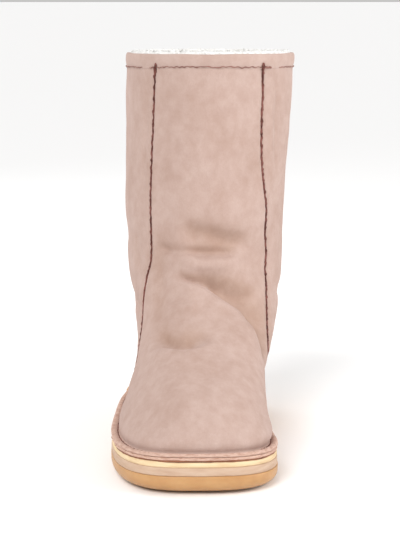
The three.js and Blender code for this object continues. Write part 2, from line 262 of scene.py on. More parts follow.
# Each fold: its path as (turn, z) points from the lateral to the medial side, how deep it is
# (a ridge is negative) and how far it spreads above and below its line.
FOLDS = (
    # Above the instep: hollows under the shaft's front, each over a soft lip.
    (((163, 155), (176, 154.3), (189, 151.5), (201, 148.5), (212, 146), (222, 143.5)), 6.0, 8.0, 6.0),
    (((145, 142), (157, 141.2), (170, 141), (184, 141)), 3.2, 4.4, 2.6),
    (((172, 141), (186, 140.2), (199, 139.4), (212, 139)), 6.4, 4.6, 2.6),
    (((156, 131), (164, 136), (178, 137.6), (192, 137.4), (210, 136)), -2.4, 2.6, 6.0),
    (((158, 129), (172, 130.5), (190, 131), (210, 127)), -2.6, 6.0, 5.0),
    # The sharp crease beside the pouch, and the long valley with its ridge down to the sole.
    (((163, 124.6), (171, 123), (180, 121), (189, 119.2), (200, 116.4)), 5.4, 2.2, 1.5),
    (((176, 126), (187, 122.4), (198, 117.6), (208, 113), (218, 109), (231, 104.5)), 4.2, 3.6, 3.2),
    (((180, 122), (190, 118), (202, 112), (213, 104), (223, 95), (233, 83), (242, 69), (249, 58)),
     6.2, 10.5, 4.2),
    (((148, 124), (160, 122.5), (175, 119), (190, 112), (201, 105.5), (212, 98), (222, 88.5),
      (230, 78.5), (238, 66)), -3.0, 4.0, 15.0),
    (((154, 105.5), (171, 106.5), (187, 106)), -1.2, 2.0, 4.0),
    # Over the vamp.
    (((132, 82.5), (146, 83.5), (160, 84.6), (177, 85.4), (194, 87)), 5.4, 5.6, 2.6),
    (((128, 75), (152, 79.5), (172, 81.5), (184, 82.5), (198, 87)), -2.0, 2.4, 9.0),
    # Beside the lateral seam, and where the ankle bends at the sides and the back.
    (((150, 156), (149, 138), (147, 118), (143, 100), (138, 84)), 2.2, 8.5, 8.5),
    (((119, 156), (122, 140), (122, 122)), 1.8, 7.0, 7.0),
    (((78, 104), (100, 97), (124, 99)), 2.2, 7.0, 5.0),
    (((250, 112), (268, 104), (285, 108)), 2.2, 7.0, 5.0),
    (((60, 152), (84, 146), (108, 150)), 1.4, 9.0, 7.0),
    (((262, 158), (284, 150), (306, 153)), 1.4, 9.0, 7.0),
    # Upright waves beside the seams, where the panels overlap.
    (((231, 274), (232, 225), (237, 180)), -0.8, 2.4, 2.4),
    (((235, 274), (237, 225), (242, 185)), 1.0, 2.2, 2.2),
    (((138, 274), (136, 225), (133, 175)), 0.8, 3.5, 3.5),
    # The side of the foot, full just ahead of the counter.
    (((98, 68), (103, 56), (108, 42)), -1.6, 9.0, 9.0),
)
CREASE_SHARPNESS = 1.9
FOLD_ENDS = 0.32          # share of a fold's length over which each end fades out
# How the folds stray from their lines and swell, with the sizes of that noise.
FOLD_NOISE = {"across": 19, "up": 11, "wander": 1.3, "swell": 0.35}
FOLD_POINTS = 24
SEAM_POINTS = 70
# The hide beside a seam: how high it swells and how deep its groove is, and their spreads.
SEAM_SWELL = (0.6, 5.0)
SEAM_GROOVE = (1.6, 2.0)


def dense(path, count):
    """A smooth path of (turn, z) through given points."""
    path = np.array(path, float)
    steps = np.hypot(np.diff(path[:, 0]) * ACROSS, np.diff(path[:, 1]))
    at = np.concatenate([[0], np.cumsum(steps)])
    want = np.linspace(0, at[-1], count)
    slopes = np.gradient(path, at, axis=0)
    i = np.clip(np.searchsorted(at, want, side="right") - 1, 0, len(at) - 2)
    length = (at[i + 1] - at[i])[:, None]
    t = ((want - at[i]) / (at[i + 1] - at[i]))[:, None]
    return ((2 * t ** 3 - 3 * t ** 2 + 1) * path[i] + (t ** 3 - 2 * t ** 2 + t) * length * slopes[i]
            + (3 * t ** 2 - 2 * t ** 3) * path[i + 1] + (t ** 3 - t ** 2) * length * slopes[i + 1])


def nearest_on(path, turn_degrees, z):
    """For every point: its distance to the path, its share along it, and +1 above or -1 below."""
    best = np.full(z.shape, np.inf)
    share = np.zeros(z.shape)
    above = np.ones(z.shape)
    for i, (start, end) in enumerate(zip(path[:-1], path[1:])):
        ahead, rise = (end[0] - start[0]) * ACROSS, end[1] - start[1]
        dx, dz = (turn_degrees - start[0]) * ACROSS, z - start[1]
        part = np.clip((dx * ahead + dz * rise) / (ahead ** 2 + rise ** 2), 0, 1)
        distance = np.hypot(dx - part * ahead, dz - part * rise)
        closer = distance < best
        best = np.where(closer, distance, best)
        share = np.where(closer, (i + part) / (len(path) - 1), share)
        above = np.where(closer, np.sign(ahead * dz - rise * dx), above)
    return best, share, above


def folds(turn, z, hollows_only=False):
    """How far in the folds go at places on the skin."""
    degrees = np.degrees(turn) % 360
    places = np.stack([degrees * ACROSS / FOLD_NOISE["across"], z / FOLD_NOISE["up"]], -1)
    wander, swell = (np.array([noise.noise(Vector((across, up, seed)))
                               for across, up in places.reshape(-1, 2)]).reshape(z.shape)
                     for seed in (5.0, 8.0))
    z = z + FOLD_NOISE["wander"] * wander
    into = np.zeros(z.shape)
    for path, depth, above, below in FOLDS:
        if hollows_only and depth < 0:
            continue
        distance, share, side = nearest_on(dense(path, FOLD_POINTS), degrees, z)
        spread = np.where(side > 0, above, below)
        fade = smooth(share, 0, FOLD_ENDS) * smooth(1 - share, 0, FOLD_ENDS)
        into += depth * fade * np.exp(-((distance / spread) ** CREASE_SHARPNESS))
    return into * (1 + FOLD_NOISE["swell"] * swell)


def relief(turn, z):
    """How far the hide stands out from the plain skin, for its folds and its seams' valleys."""
    degrees = np.degrees(turn) % 360
    out = -folds(turn, z)
    for seam in (LATERAL_SEAM, MEDIAL_SEAM):
        distance, _, _ = nearest_on(dense(seam, SEAM_POINTS), degrees, z)
        (swell, wide), (groove, narrow) = SEAM_SWELL, SEAM_GROOVE
        out += swell * bell(distance, wide) - groove * bell(distance, narrow)
    return out


def unevenness(points):
    """Soft hand-made waves of the hide, in millimetres, from its own place."""
    return waves(points, 34) * 0.9 + waves(points, 13) * 0.25


# ---- making meshes
def grid_faces(rows, columns, close_rows=False, close_columns=True):
    """Quads of a grid of points, listed row by row, seen from outside anticlockwise."""
    r = np.arange(rows if close_rows else rows - 1)
    c = np.arange(columns if close_columns else columns - 1)
    r, c = np.meshgrid(r, c, indexing="ij")
    below, above = r * columns, ((r + 1) % rows) * columns
    beside = (c + 1) % columns
    return np.stack([below + c, below + beside, above + beside, above + c], -1).reshape(-1, 4)


def mesh_object(name, points, faces, material, slot, replaces=()):
    """A smooth-shaded piece on the boot's body, from points in millimetres."""
    mesh = bpy.data.meshes.new(name)
    points = np.asarray(points, float).reshape(-1, 3) * MM
    faces = [tuple(int(i) for i in face) for face in faces]
    mesh.from_pydata([tuple(p) for p in points], [], faces)
    mesh.validate()
    mesh.update()
    mesh.polygons.foreach_set("use_smooth", [True] * len(mesh.polygons))
    mesh.materials.append(material)
    piece = bpy.data.objects.new(name, mesh)
    bpy.context.scene.collection.objects.link(piece)
    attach(piece, BODY)
    if replaces:
        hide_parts(*replaces)
    return piece


def mark_points(piece, name, values):
    """A number from 0 to 1 on each point: one mark darkens the finish with painted shade and wear, another
    bares its raw edge, partly as painted light.
    """
    mark = piece.data.attributes.new(name, "FLOAT", "POINT")
    mark.data.foreach_set("value", np.asarray(values, float).ravel())


def cap_faces(columns, first, top):
    """Strips across a ring, from its lateral to its medial side."""
    half = columns // 2
    faces = []
    for c in range(half):
        quad = [c, c + 1, columns - c - 1, (columns - c) % columns]
        face = [first + i for i in dict.fromkeys(quad)]
        faces.append(face if top else face[::-1])
    return faces


def slab(name, rings, material, slot, replaces=()):
    """A closed slab through rings listed from its bottom to its top."""
    rows, columns = len(rings), len(rings[0])
    faces = [list(face) for face in grid_faces(rows, columns)]
    faces += cap_faces(columns, 0, top=False)
    faces += cap_faces(columns, (rows - 1) * columns, top=True)
    return mesh_object(name, np.array(rings), faces, material, slot, replaces)


def tube_faces(first, rings, sides):
    """Faces of a closed tube whose rings follow each other from its first point."""
    faces = []
    for ring in range(rings - 1):
        for k in range(sides):
            a, b = first + ring * sides + k, first + ring * sides + (k + 1) % sides
            faces.append((a, a + sides, b + sides, b))
    last = first + (rings - 1) * sides
    faces.append(tuple(first + k for k in range(sides)))
    faces.append(tuple(last + k for k in reversed(range(sides))))
    return faces


def turns(columns):
    return np.arange(columns) * (2 * np.pi / columns)


def run_length(*lines):
    """The length run along a line at each of its points, or along several lines together."""
    steps = sum(np.linalg.norm(np.diff(line, axis=0), axis=1) for line in lines)
    return np.concatenate([[0], np.cumsum(steps)])


# ---- materials
def srgb(red, green, blue):
    def linear(value):
        value /= 255
        return value / 12.92 if value <= 0.04045 else ((value + 0.055) / 1.055) ** 2.4
    return (linear(red), linear(green), linear(blue), 1.0)


WHITE = (1, 1, 1, 1)


class Nodes:
    """A material's node tree, with short calls for the nodes that these finishes share."""

    def __init__(self, name):
        self.material = bpy.data.materials.new(name)
        self.material.use_nodes = True
        self.tree = self.material.node_tree
        self.shader = self.tree.nodes["Principled BSDF"]
        self.place = self.tree.nodes.new("ShaderNodeTexCoord").outputs["Object"]

    def link(self, source, target):
        self.tree.links.new(source, target)

    def feed(self, source, socket):
        """Sets a socket to a plain value, or links an output to it."""
        if isinstance(source, (float, int, tuple)):
            socket.default_value = source
        else:
            self.link(source, socket)

    def noise(self, size_mm, detail, roughness=0.55, stretch=None):
        """Noise with bumps about this many millimetres across, stretched along the axes."""
        texture = self.tree.nodes.new("ShaderNodeTexNoise")
        texture.inputs["Scale"].default_value = 1 / (size_mm * MM)
        texture.inputs["Detail"].default_value = detail
        texture.inputs["Roughness"].default_value = roughness
        place = self.place
        if stretch:
            mapping = self.tree.nodes.new("ShaderNodeMapping")
            mapping.inputs["Scale"].default_value = stretch
            self.link(self.place, mapping.inputs["Vector"])
            place = mapping.outputs["Vector"]
        self.link(place, texture.inputs["Vector"])
        return texture.outputs["Fac"]

    def ramp(self, value, stops):
        ramp = self.tree.nodes.new("ShaderNodeValToRGB")
        elements = ramp.color_ramp.elements
        while len(elements) < len(stops):
            elements.new(0.5)
        for element, (position, colour) in zip(elements, stops):
            element.position = position
            element.color = colour
        self.link(value, ramp.inputs["Fac"])
        return ramp.outputs["Color"]

    def mix(self, factor, first, second, blend="MIX"):
        mix = self.tree.nodes.new("ShaderNodeMix")
        mix.data_type = "RGBA"
        mix.blend_type = blend
        for source, socket in ((factor, 0), (first, 6), (second, 7)):
            self.feed(source, mix.inputs[socket])
        return mix.outputs[2]

    def math(self, operation, first, second):
        node = self.tree.nodes.new("ShaderNodeMath")
        node.operation = operation
        self.feed(first, node.inputs[0])
        self.feed(second, node.inputs[1])
        return node.outputs[0]

    def attribute(self, name):
        node = self.tree.nodes.new("ShaderNodeAttribute")
        node.attribute_name = name
        return node.outputs["Fac"]

    def paint_shade_and_wear(self, colour, share, tint):
        """Darkens a colour where the piece is marked: painted shade in the hide's hollows, wear on the
        counter.
        """
        marked = self.math("MULTIPLY", self.attribute("painted_shade_and_wear"), share)
        return self.mix(marked, colour, tint, "MULTIPLY")

    def speckle(self, colour, share, pattern, low, tint, high):
        """Darkens a colour where a pattern is low."""
        return self.mix(share, colour, self.ramp(pattern, ((low, tint), (high, WHITE))), "MULTIPLY")

    def bump(self, heights):
        """Bumps stacked on each other: each height with its depth in millimetres."""
        previous = None
        for height, depth_mm in heights:
            bump = self.tree.nodes.new("ShaderNodeBump")
            bump.inputs["Strength"].default_value = 1.0
            bump.inputs["Distance"].default_value = depth_mm * MM
            self.link(height, bump.inputs["Height"])
            if previous:
                self.link(previous, bump.inputs["Normal"])
            previous = bump.outputs["Normal"]
        self.link(previous, self.shader.inputs["Normal"])

    def finish(self, colour, roughness, specular, sheen=0.0, sheen_tint=WHITE):
        self.feed(colour, self.shader.inputs["Base Color"])
        self.shader.inputs["Roughness"].default_value = roughness
        self.shader.inputs["Specular IOR Level"].default_value = specular
        if sheen:
            self.shader.inputs["Sheen Weight"].default_value = sheen
            self.shader.inputs["Sheen Roughness"].default_value = 0.45
            self.shader.inputs["Sheen Tint"].default_value = sheen_tint
        return self.material


def suede_material(name, base, light, dark, nap=1.0, cut_and_painted_light=None):
    """Brushed suede: patches where the nap lies either way, fine fibres and a soft sheen.

    Its edge colours are the dark, middle and light colours of raw edges; on the hide's flange they are
    partly painted light.
    """
    n = Nodes(name)
    patches = n.noise(34, 4, 0.6, stretch=(1, 1, 0.8))
    colour = n.ramp(patches, ((0.28, dark), (0.5, base), (0.72, light)))
    strokes = n.noise(8, 5, 0.6, stretch=(1, 1, 0.85))
    colour = n.mix(0.42, colour, n.ramp(strokes, ((0.36, dark), (0.64, light))))
    mottle = n.noise(2.4, 3, 0.6)
    colour = n.mix(n.math("MULTIPLY", mottle, 0.35), colour, dark)
    fibre = n.noise(0.7, 3, 0.7)
    colour = n.speckle(colour, 0.34, fibre, 0.35, (0.86, 0.84, 0.83, 1), 0.65)
    # Painted shade: a browner, darker tint where the hide is marked in its folds' hollows.
    colour = n.paint_shade_and_wear(colour, 0.6, (0.80, 0.72, 0.62, 1))
    # Raw edges in their own colours: on the hide's flange, partly painted light that lifts the flange's
    # shade.
    if cut_and_painted_light:
        fray = n.noise(1.6, 3, 0.7, stretch=(0.35, 0.35, 2.2))
        frayed_and_painted_light = n.ramp(fray, ((0.36, cut_and_painted_light[0]), (0.5, cut_and_painted_light[1]), (0.64, cut_and_painted_light[2])))
        colour = n.mix(n.attribute("cut_edge_and_painted_light"), colour, frayed_and_painted_light)
    n.bump(((patches, 0.5 * nap), (strokes, 0.35 * nap), (fibre, 0.14 * nap)))
    return n.finish(colour, 0.95, 0.1, sheen=0.15, sheen_tint=srgb(255, 236, 232))


def clouded(n, clouds, stops, grain, depths, roughness, specular, sheen=0.0):
    """Soft clouds of colour over a fine grain, with the depths of the bumps of both."""
    clouds, grain = n.noise(*clouds), n.noise(*grain)
    n.bump(zip((clouds, grain), depths))
    return n.finish(n.ramp(clouds, stops), roughness, specular, sheen)


def wool_material(name):
    """White fleece: curls a few millimetres across, of fine fibres."""
    curls = ((0.3, srgb(205, 203, 198)), (0.55, srgb(240, 239, 236)), (0.75, srgb(252, 251, 249)))
    return clouded(Nodes(name), (3.2, 4, 0.6), curls, (0.6, 2), (1.3, 0.3), 1.0, 0.1, sheen=0.5)


def leather_material(name):
    """Natural tanned leather: warm, fine grained, mottled, and darker where it is worn."""
    n = Nodes(name)
    clouds = n.noise(22, 3)
    colour = n.ramp(clouds, ((0.3, srgb(200, 159, 123)), (0.5, srgb(205, 166, 131)),
                             (0.72, srgb(211, 174, 140))))
    colour = n.paint_shade_and_wear(colour, 0.75, (0.86, 0.76, 0.64, 1))
    grain = n.noise(0.9, 4, 0.65)
    colour = n.speckle(colour, 0.22, grain, 0.4, (0.86, 0.78, 0.7, 1), 0.6)
    n.bump(((clouds, 0.35), (grain, 0.1)))
    return n.finish(colour, 0.55, 0.35)


def sheet_material(name, base, light, dark, roughness=0.8):
    """A ground edge of sheet, streaked along its length."""
    stops = ((0.3, dark), (0.5, base), (0.7, light))
    streaks = (9, 4, 0.55, (0.5, 0.5, 3.0))
    return clouded(Nodes(name), streaks, stops, (1.2, 3), (0.18, 0.12), roughness, 0.3)


def gum_material(name):
    """Honey gum rubber: smooth, faintly cloudy, a little light carried inside."""
    n = Nodes(name)
    n.shader.inputs["Subsurface Weight"].default_value = 0.12
    n.shader.inputs["Subsurface Radius"].default_value = (0.006, 0.003, 0.0015)
    stops = ((0.3, srgb(181, 134, 87)), (0.52, srgb(189, 144, 96)), (0.75, srgb(196, 153, 106)))
    return clouded(n, (16, 3, 0.55, (1, 1, 1.6)), stops, (1.5, 3), (0.25, 0.06), 0.42, 0.4)


def thread_material(name, dark, light):
    n = Nodes(name)
    wear = n.noise(4.5, 2)
    colour = n.ramp(wear, ((0.38, dark), (0.62, light)))
    n.bump(((n.noise(0.8, 2), 0.15),))
    return n.finish(colour, 0.75, 0.25)


# Colours of raw suede edges; on the hide's flange they are partly painted light.
CUT_SUEDE_AND_PAINTED_LIGHT = (srgb(176, 136, 118), srgb(200, 166, 149), srgb(211, 181, 165))
SUEDE = suede_material("suede", srgb(184, 159, 149), srgb(194, 171, 162), srgb(173, 146, 134),
                       cut_and_painted_light=CUT_SUEDE_AND_PAINTED_LIGHT)
SUEDE_EDGE = suede_material("suede_edge", *CUT_SUEDE_AND_PAINTED_LIGHT, nap=0.7, cut_and_painted_light=CUT_SUEDE_AND_PAINTED_LIGHT)
BAND_SUEDE = suede_material("band_suede", srgb(187, 163, 153), srgb(196, 174, 165),
                            srgb(177, 151, 140), nap=0.8)
WOOL = wool_material("wool")
LEATHER = leather_material("tan_leather")
CREAM = sheet_material("cream_foam", srgb(224, 199, 160), srgb(230, 209, 174), srgb(213, 185, 146))
BEIGE = sheet_material("beige_foam", srgb(195, 167, 144), srgb(202, 177, 155), srgb(185, 155, 132))
GUM = gum_material("gum_rubber")
THREAD = thread_material("brown_thread", srgb(78, 42, 36), srgb(124, 78, 70))
FINE_THREAD = thread_material("fine_thread", srgb(120, 80, 72), srgb(152, 112, 102))
# The finish of the dark brown band between the runner and the board.
DARK_BAND_SHEET = sheet_material("dark_brown_band", srgb(134, 84, 60), srgb(160, 108, 80), srgb(110, 66, 46),
                           roughness=0.6)


# ---- the sole
SOLE_COLUMNS = 480
ROUNDING_STEPS = (0, 8, 16, 25, 35, 45, 55, 65, 75, 85, 90)   # degrees round the lower edge
# Rings, from the bottom up, as (how far drawn in, how far above the height they go with).
OUTSOLE_RIM = ((0.0, -0.6), (0.25, -0.15), (0.7, 0.0))
# Rings as (how far drawn in, share of the way from the layer's bottom to its top, how far above).
EASED_EDGE = ((0.55, 0, 0.0), (0.2, 0, 0.3), (0.0, 0, 0.8), (0.0, 1, -0.8), (0.2, 1, -0.3),
              (0.6, 1, 0.0))
# Rings of the dark brown band between the runner and the board, as (how far drawn in, share of the way up
# it).
DARK_BAND_RINGS = ((1.1, 0.0), (0.8, 0.3), (0.9, 1.0), (1.4, 1.3))


def raised(height_at, up):
    return lambda along: height_at(along) + up


def between(bottom, top, share, up=0.0):
    return lambda along: lerp(bottom(along), top(along), share) + up


def layer_ring(inset, height_at, rough=0.0, seed=0.0):
    """A ring of a sole layer: the outline drawn in by inset, at the height of a function."""
    ring = ring_point(SOLE_EDGE, turns(SOLE_COLUMNS), inset)
    if rough:
        centre = np.array([0, HEEL_BACK - SOLE_LENGTH / 2, 0])
        push = (ripple(ring, 17, seed) + 0.5 * ripple(ring, 3.6, seed)) * rough
        away = (ring - centre) / np.linalg.norm(ring - centre, axis=1, keepdims=True)
        ring = ring + away * push[:, None]
    ring[:, 2] = height_at(HEEL_BACK - ring[:, 1])
    return ring


def outsole():
    """The gum outsole, with its rounded lower edge."""
    rings = []
    share = (1 - np.cos(turns(SOLE_COLUMNS))) / 2
    rounding = lerp(EDGE_ROUND["heel_in"], EDGE_ROUND["toe_in"], share)
    for degrees in ROUNDING_STEPS:
        angle = math.radians(degrees)
        ring = ring_point(SOLE_EDGE, turns(SOLE_COLUMNS), rounding * (1 - math.sin(angle)))
        ring[:, 2] = tread_z(HEEL_BACK - ring[:, 1]) + EDGE_ROUND["up"] * (1 - math.cos(angle))
        rings.append(ring)
    rings += [layer_ring(inset, raised(outsole_top, up)) for inset, up in OUTSOLE_RIM]
    slab("gum_outsole", rings, GUM, "gum_rubber", ("outsole",))


def sheet(name, bottom, top, inset, material, slot, replaces, rough, seed):
    """One sheet of the sole, its edges eased and a little uneven, as ground by hand."""
    rings = [layer_ring(inset + extra, between(bottom, top, share, up), rough, seed)
             for extra, share, up in EASED_EDGE]
    return slab(name, rings, material, slot, replaces)


def sole():
    outsole()
    sheet("beige_midsole", outsole_top, midsole_top, 0.35, BEIGE, "beige_foam", ("midsole",), 0.35, 1)
    sheet("cream_runner", midsole_top, raised(runner_top, 0.1), 0.75, CREAM, "cream_foam",
          ("runner",), 0.35, 2)
    # A dark brown band drawn between the runner and the board.
    rings = [layer_ring(inset, between(runner_top, dark_band_top, share), 1.3, 3)
             for inset, share in DARK_BAND_RINGS]
    slab("dark_layer_band", rings, DARK_BAND_SHEET, "suede_edge")
    board = sheet("suede_board", raised(dark_band_top, -0.2), raised(board_top, 0.2), 0.35, SUEDE_EDGE,
                  "suede_edge", ("insole_board",), 0.7, 4)
    mark_points(board, "cut_edge_and_painted_light", np.ones(len(board.data.vertices)))


# ---- the upper
HIDE_COLUMNS = 300
OUTER_ROWS = 210
INNER_ROWS = 70
FINE_LEVELS = 600
# The flange's rings, as (how far drawn in, how far above the gap over the board, how wavy).
FLANGE_RINGS = ((FLANGE_WIDTH + 1.6, 0.0, 0.0), (1.2, 0.0, 0.0), (0.3, 0.25, 0.1), (0.0, 0.8, 0.25),
                (0.1, 1.5, 0.3), (0.6, 2.0, 0.35), (1.5, 2.3, 0.35), (2.8, 2.25, 0.25),
                (3.9, 1.7, 0.1), (4.7, 1.0, 0.0))
CREASE_FADE = 14.0        # height over which the relief fades in above the crease
LEAST_FOLD = 0.25         # share of a fold's depth that is left at the crease
ROLL = {"out": 0.9, "height": 6.0, "spread": 5.0}    # the hide's roll above the crease
DIP = {"in": 1.1, "spread": 1.5}                     # and its dip in the crease
SHADE_ABOVE = 2.5           # painted shade lies this far above each hollow's line, on the wall where shade falls
SHADE_DEPTH = 5.5           # a hollow this deep is wholly in painted shade


def even_levels(count):
    """Levels in about even steps, measured at the toe and at the lateral side together."""
    fine = np.linspace(0, 1, FINE_LEVELS)
    toe, lateral = (skin(np.full(FINE_LEVELS, turn), fine) for turn in (np.pi, np.pi / 2))
    length = run_length(toe, lateral)
    return np.interp(np.linspace(0, length[-1], count), length, fine)


def binding_drop(turn):
    """How far the binding reaches down from the rim: a little less over the middle of the front."""
    return BINDING["height"] - 1.2 * bell(np.degrees(turn) % 360 - 180, 38)


def hide_relief(turn, level):
    """The whole relief of the hide at any turns and levels."""
    plain = skin(turn, level)
    crease = skin(turn, 0.0)
    above_crease = plain[..., 2] - crease[..., 2]
    fade = smooth(above_crease, 0, CREASE_FADE)
    below_rim = skin(turn, 1.0)[..., 2] - plain[..., 2]
    out = relief(turn, plain[..., 2]) * np.maximum(fade, LEAST_FOLD) + unevenness(plain) * fade
    out += (ROLL["out"] * bell(above_crease - ROLL["height"], ROLL["spread"])
            - DIP["in"] * bell(above_crease, DIP["spread"]))
    return out * smooth(below_rim, BINDING["height"] - 3, BINDING["height"] + 14)


def hide_grid():
    """The hide's outside: rows of points from the crease to the rim, with its relief."""
    turn, level = np.meshgrid(turns(HIDE_COLUMNS), even_levels(OUTER_ROWS), indexing="xy")
    return turn, level, hide_relief(turn, level)


def flange_ring(inset, up, wave):
    ring = ring_point(SOLE_EDGE, turns(HIDE_COLUMNS), inset)
    bend = ripple(ring, 21, 4.0) + 0.8 * ripple(ring, 3.2, 6.0 + up)
    ring[:, 2] = board_top(HEEL_BACK - ring[:, 1]) + GAP + up + wave * (bend + 0.3)
    return ring


def hide():
    """The suede outside with its flange, and the hide's inner face behind it."""
    turn, level, out = hide_grid()
    outer = skin(turn, level, out)
    flange = [flange_ring(*ring) for ring in FLANGE_RINGS]
    keep = np.linspace(OUTER_ROWS - 1, 0, INNER_ROWS).astype(int)
    inner = skin(turn[keep], level[keep], out[keep] - HIDE)
    inner[0] = outer[-1] + (inner[0] - outer[-1]) * [1, 1, 0]
    inner = inner[:-2]
    rows = np.concatenate([np.array(flange), outer, inner])
    faces = grid_faces(len(rows), HIDE_COLUMNS, close_rows=True)
    piece = mesh_object("suede_upper", rows, faces, SUEDE, "suede", ("upper",))
    # Painted shade: the folds' hollows, and the walls just above their lines where shade falls, are marked
    # for a browner, darker tint.
    painted_shade_and_wear = np.zeros((len(rows), HIDE_COLUMNS))
    hollows = folds(turn, skin(turn, level)[..., 2] - SHADE_ABOVE, hollows_only=True)
    painted_shade_and_wear[len(flange):len(flange) + OUTER_ROWS] = np.clip(hollows / SHADE_DEPTH, 0, 1)
    mark_points(piece, "painted_shade_and_wear", painted_shade_and_wear)
    # The flange's rows take the colour of raw edges: partly its raw edge, partly painted light that lifts
    # its shade.
    cut_and_painted_light = np.zeros((len(rows), HIDE_COLUMNS))
    cut_and_painted_light[:len(flange)] = 0.8
    mark_points(piece, "cut_edge_and_painted_light", cut_and_painted_light)


LINING_ROWS = {"behind": 60, "face": 190}
BEHIND_HIDE = 0.4         # the wool's back lies this far behind the hide
FACE_OUT = 1.0            # the wool's face, before its tufts, lies this far short of the wall's own
FACE_FOLLOWS = 0.6        # share of the hide's relief that shows on the face
FLEECE_LIP = ((0.1, 1.1), (0.35, 1.9), (0.65, 2.0), (0.9, 1.3))    # (share across, up)


def wool_lining():
    """The fleece inside: its face is tufted, and it stands a little above the rim."""
    turn, level, out = hide_grid()
    deepest = out.copy()
    for step in (-4, -2, 2, 4):
        deepest = np.minimum(deepest, np.roll(out, step, axis=1))
        deepest[4:-4] = np.minimum(deepest[4:-4], out[4 + step:len(out) - 4 + step])
    keep = np.linspace(2, OUTER_ROWS - 1, LINING_ROWS["behind"]).astype(int)
    outer = skin(turn[keep], level[keep], deepest[keep] - HIDE - BEHIND_HIDE)
    outer[-1, :, 2] += 0.6
    keep = np.linspace(OUTER_ROWS - 1, 4, LINING_ROWS["face"]).astype(int)
    face = FACE_FOLLOWS * out[keep] - WALL + FACE_OUT
    plain = skin(turn[keep], level[keep], face)
    tuft = waves(plain, 4.2) * 1.3 + waves(plain, 1.9) * 0.7
    inner = skin(turn[keep], level[keep], face + tuft)
    lip = []
    for share, up in FLEECE_LIP:
        row = lerp(outer[-1], inner[0], share)
        row[:, 2] = outer[-1, :, 2] + up + waves(row, 2.4) * 0.9
        lip.append(row)
    inner[0, :, 2] += 0.4
    rows = np.concatenate([outer, np.array(lip), inner])
    faces = grid_faces(len(rows), HIDE_COLUMNS, close_rows=True)
    mesh_object("wool_lining", rows, faces, WOOL, "wool")


def tufts(name, anchors, directions, seed, length, width):
    """Small curled locks of wool, joined in one mesh: tapered four-sided strands."""
    rng = random.Random(seed)
    points, faces = [], []
    for anchor, direction in zip(anchors, directions):
        direction = Vector(direction).normalized()
        side = direction.orthogonal().normalized()
        side.rotate(Quaternion(direction, rng.uniform(0, 6.28)))
        other = direction.cross(side)
        reach = length * rng.uniform(0.6, 1.25)
        curl = rng.uniform(0.5, 1.3)
        first = len(points)
        for i in range(5):
            t = i / 4
            centre = (Vector(anchor) + direction * reach * math.sin(t * 1.7) * 0.9
                      + side * reach * curl * (t ** 2) * 0.8 + other * reach * 0.3 * math.sin(t * 5))
            half = width * (1 - t * 0.75) / 2
            for a, b in ((1, 0), (0, 1), (-1, 0), (0, -1)):
                points.append(tuple(centre + side * a * half + other * b * half))
        for i in range(4):
            for k in range(4):
                a, b = first + i * 4 + k, first + i * 4 + (k + 1) % 4
                faces.append((a, b, b + 4, a + 4))
        faces.append((first + 3, first + 2, first + 1, first))
        faces.append((first + 16, first + 17, first + 18, first + 19))
    mesh_object(name, points, faces, WOOL, "wool")


LOCKS = {"count": 5200, "down": 110, "at_rim": 0.02, "length": 2.6, "width": 0.9}


def collar_fleece():
    """Locks at the rim and down the top of the lining, where the fleece is seen."""
    rng = random.Random(3)
    count = LOCKS["count"]
    turn = np.array([rng.uniform(0, 2 * math.pi) for _ in range(count)])
    depth = np.array([rng.random() ** 1.7 for _ in range(count)])
    z_rim = skin(turn, 1.0)[:, 2]
    level = level_at_height(turn, z_rim - 1.0 - depth * LOCKS["down"])
    out = -(WALL - 1.2) + np.array([rng.uniform(-0.3, 0.6) for _ in range(count)])
    near_rim = depth < LOCKS["at_rim"]
    out = np.where(near_rim, -HIDE - 0.8 - np.array([rng.random() for _ in range(count)]) * 4.6, out)
    anchors = skin(turn, level, out)
    anchors[:, 2] += np.where(near_rim, 1.6, 0)
    inward = anchors - skin(turn, level, out + 1.0)
    directions = inward + np.array([[rng.uniform(-0.5, 0.5), rng.uniform(-0.5, 0.5),
                                     rng.uniform(-0.3, 0.7)] for _ in range(count)])
    directions[near_rim] = directions[near_rim] * 0.6 + [0, 0, 0.8]
    tufts("collar_fleece", anchors, directions, 5, LOCKS["length"], LOCKS["width"])


PROUD = BINDING["thickness"]
# The binding's rings: down from the rim and out of the skin, then out and up over the rim, and
# down and out inside.
BINDING_FACE = ((10.0, -0.5), (9.95, 0.0), (9.6, 0.3), (9.0, 0.35), (8.0, 0.45), (6.5, PROUD * 0.9),
                (4.5, PROUD + 0.1), (3.0, PROUD + 0.1), (1.2, PROUD), (0.2, PROUD * 0.7))
BINDING_RIM = ((0.25, 0.65), (-0.5, 0.95), (-1.4, 0.95), (-2.1, 0.55), (-2.3, 0.0), (-2.3, -1.5))


def collar_binding():
    """The folded suede edge round the collar."""
    turn = turns(HIDE_COLUMNS)
    rim_z = skin(turn, 1.0)[:, 2]

    def at(drop, out):
        level = level_at_height(turn, rim_z - drop)
        ring = skin(turn, level, np.full(HIDE_COLUMNS, out))
        ring[:, 2] = rim_z - drop
        return ring

    foot = binding_drop(turn) / BINDING["height"]
    rows = [at(drop * foot, out) for drop, out in BINDING_FACE]
    for out, up in BINDING_RIM:
        ring = skin(turn, 1.0, np.full(HIDE_COLUMNS, out))
        ring[:, 2] = rim_z + up
        rows.append(ring)
    rows += [at(3.0, -0.6), at(9.8 * foot, -0.6)]
    rows = np.array(rows)
    rows[:, :, 2] += ripple(rows[0], 30, 2.0) * 0.5
    mesh_object("suede_collar_binding", rows, grid_faces(len(rows), HIDE_COLUMNS, close_rows=True),
                BAND_SUEDE, "suede", ("collar_binding",))


